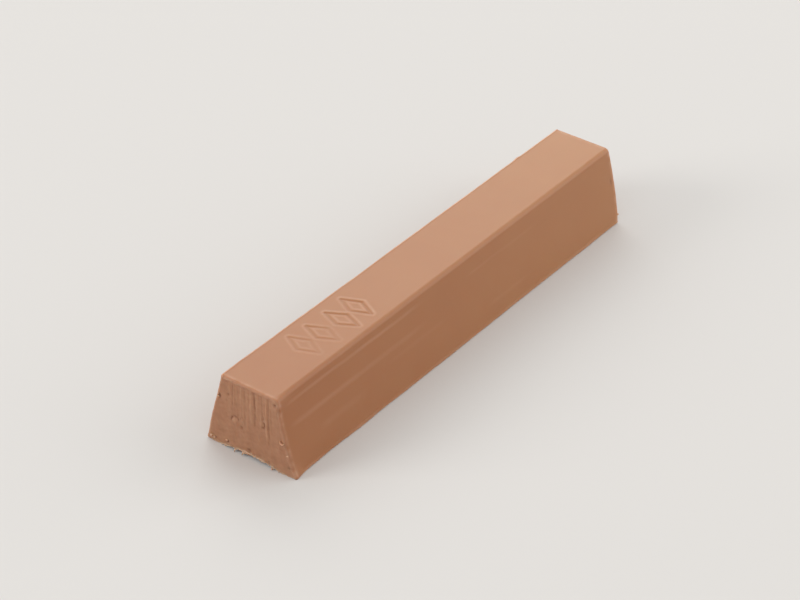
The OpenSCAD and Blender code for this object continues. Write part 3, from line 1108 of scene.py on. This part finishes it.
def torn_wax():
    """Shreds and crumbs of the same wax: torn, so matt, and pale, partly because light passes their
    thin edges and partly by painted light that lifts the shade under the down-facing burr."""
    material, tree = new_material("torn_wax_scraps")
    place = add(tree, "ShaderNodeTexCoord").outputs["Object"]
    grain = add(tree, "ShaderNodeTexNoise", {
        "Vector": place, "Scale": per_metre(TORN_MM), "Detail": 4.0,
    })
    darker, lighter = TORN_COLOURS_AND_PAINTED_LIGHT
    colour = add(tree, "ShaderNodeMix", {
        "Factor": grain, "A": hex_colour(darker), "B": hex_colour(lighter),
    }, data_type="RGBA")
    bump = add(tree, "ShaderNodeBump", {
        "Height": grain, "Strength": 0.5, "Distance": TORN_BUMP_MM * MM,
    })
    shader = add(tree, "ShaderNodeBsdfPrincipled", {
        "Base Color": colour,
        "Roughness": 0.6,
        "IOR": WAX_IOR,
        "Subsurface Weight": 0.4,
        "Subsurface Radius": WAX_SCATTER_RADIUS,
        "Subsurface Scale": TORN_SCATTER_MM * MM,
        "Normal": bump,
    })
    add(tree, "ShaderNodeOutputMaterial", {"Surface": shader})
    return material


def seen_rays(tree):
    """1 for what the eye sees, straight on, in a reflection or through a clear thing, and 0 for
    what only lights something."""
    path = add(tree, "ShaderNodeLightPath")
    direct = add(tree, "ShaderNodeMath", {
        0: path.outputs["Is Camera Ray"], 1: path.outputs["Is Glossy Ray"],
    }, operation="MAXIMUM")
    return add(tree, "ShaderNodeMath", {
        0: direct, 1: path.outputs["Is Transmission Ray"],
    }, operation="MAXIMUM")


# The floor's size in metres, the colour that it throws back and the colour that is seen
FLOOR_SIZE = 6.0
FLOOR_THROWN = "#946C5E"
FLOOR_SEEN = "#D9D6D2"


def pale_floor():
    """A plain pale floor that keeps the bar's shadow. It looks pale to the eye and to reflections,
    and throws back less light than that, so that it doesn't wash out the bar's shaded sides."""
    material, tree = new_material("pale_floor")
    colour = add(tree, "ShaderNodeMix", {
        "Factor": seen_rays(tree), "A": hex_colour(FLOOR_THROWN), "B": hex_colour(FLOOR_SEEN),
    }, data_type="RGBA")
    shader = add(tree, "ShaderNodeBsdfDiffuse", {"Color": colour})
    add(tree, "ShaderNodeOutputMaterial", {"Surface": shader})
    return material


def make_floor():
    """The floor: one large square on the bar's resting plane."""
    half = FLOOR_SIZE / 2
    corners = [(-half, -half, 0), (half, -half, 0), (half, half, 0), (-half, half, 0)]
    mesh = bpy.data.meshes.new("floor")
    mesh.from_pydata(corners, [], [(0, 1, 2, 3)])
    mesh.materials.append(pale_floor())
    floor = bpy.data.objects.new("floor", mesh)
    bpy.context.scene.collection.objects.link(floor)


def aim(eye, target, roll=0.0):
    """A matrix that puts a camera or lamp at eye, looking at target, rolled by an angle about its
    view."""
    back = np.array(eye, float) - np.array(target, float)
    back /= np.linalg.norm(back)
    right = np.cross(-back, [0, 0, 1])
    right /= np.linalg.norm(right)
    up = np.cross(back, right)
    turned_right = right * math.cos(roll) + up * math.sin(roll)
    turned_up = up * math.cos(roll) - right * math.sin(roll)
    matrix = np.eye(4)
    matrix[:3, :3] = np.stack([turned_right, turned_up, back], axis=-1)
    matrix[:3, 3] = eye
    return Matrix(matrix.tolist())


# Each lamp: name, place and size in metres, level at the bar
LAMPS = (
    ("back_lamp", (0.95, 0.92, 1.05), 1.26, 0.33),
    ("front_lamp", (0.55, -0.62, 0.37), 0.95, 0.43),
    ("end_lamp", (-0.8, 0.65, 0.4), 0.5, 0.38),
)
# How strongly the surround lights the bar, and how bright it looks to the eye and in reflections
WORLD_LEVEL = 0.7
WORLD_SEEN_LEVEL = 0.85


def soft_lamp(name, eye, size, level):
    """A square lamp aimed at the bar. Level 1 lights a white card that faces it to white."""
    distance = np.linalg.norm(eye)
    lamp = bpy.data.lights.new(name, "AREA")
    lamp.shape = "SQUARE"
    lamp.size = size
    lamp.energy = level * math.pi ** 2 * distance ** 2
    holder = bpy.data.objects.new(name, lamp)
    holder.matrix_world = aim(eye, (0, 0, 0))
    bpy.context.scene.collection.objects.link(holder)


def plain_world():
    """An even grey surround that lights at one level and looks paler, in reflections too."""
    world = bpy.data.worlds.new("studio")
    world.use_nodes = True
    tree = world.node_tree
    tree.nodes.clear()
    strength = add(tree, "ShaderNodeMapRange", {
        "Value": seen_rays(tree), "To Min": WORLD_LEVEL, "To Max": WORLD_SEEN_LEVEL,
    })
    light = add(tree, "ShaderNodeBackground", {"Color": (1, 1, 1, 1), "Strength": strength})
    add(tree, "ShaderNodeOutputWorld", {"Surface": light})
    bpy.context.scene.world = world


# The camera that took the photograph, worked out from the bar's edges in its 800 pixel frame
CAMERA_AZIMUTH = math.radians(-53.175)
CAMERA_ELEVATION = math.radians(34.931)
CAMERA_ROLL = math.radians(0.343)
CAMERA_TARGET = (2.699 * MM, 7.306 * MM, 0)
CAMERA_DISTANCE = 433.72 * MM
CAMERA_CLIP = 10 * MM
FOCAL_PIXELS = 2601
FRAME_PIXELS = 800
SENSOR_MM = 36


def make_camera():
    """The photograph's view of the bar."""
    back = np.array([
        math.sin(CAMERA_AZIMUTH) * math.cos(CAMERA_ELEVATION),
        -math.cos(CAMERA_AZIMUTH) * math.cos(CAMERA_ELEVATION),
        math.sin(CAMERA_ELEVATION),
    ])
    data = bpy.data.cameras.new("camera")
    data.sensor_width = SENSOR_MM
    data.lens = SENSOR_MM * FOCAL_PIXELS / FRAME_PIXELS
    data.clip_start = CAMERA_CLIP
    camera = bpy.data.objects.new("camera", data)
    camera.matrix_world = aim(back * CAMERA_DISTANCE + CAMERA_TARGET, CAMERA_TARGET, CAMERA_ROLL)
    bpy.context.scene.collection.objects.link(camera)
    bpy.context.scene.camera = camera


def dress(piece, node):
    """Puts a finished piece in the place of its CAD node, on the one body, and hides that node."""
    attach(piece, "root")
    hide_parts(node)


make_camera()
make_floor()
plain_world()
for lamp_values in LAMPS:
    soft_lamp(*lamp_values)

cast = cast_wax()
torn = torn_wax()
dress(wax_bar_mesh(cast), "wax_bar")
for name, node, shape in (
    ("near_cut_slivers", "near_rim_slivers", near_slivers()),
    ("near_cut_curl", "near_rim_curl", near_curl()),
    ("near_cut_crumbs", "near_face_crumbs", near_crumbs()),
    ("far_cut_crumb", "far_rim_crumb", far_crumb()),
):
    dress(make_mesh(name, shape, {}, torn), node)

bpy.context.scene.view_settings.view_transform = "Standard"
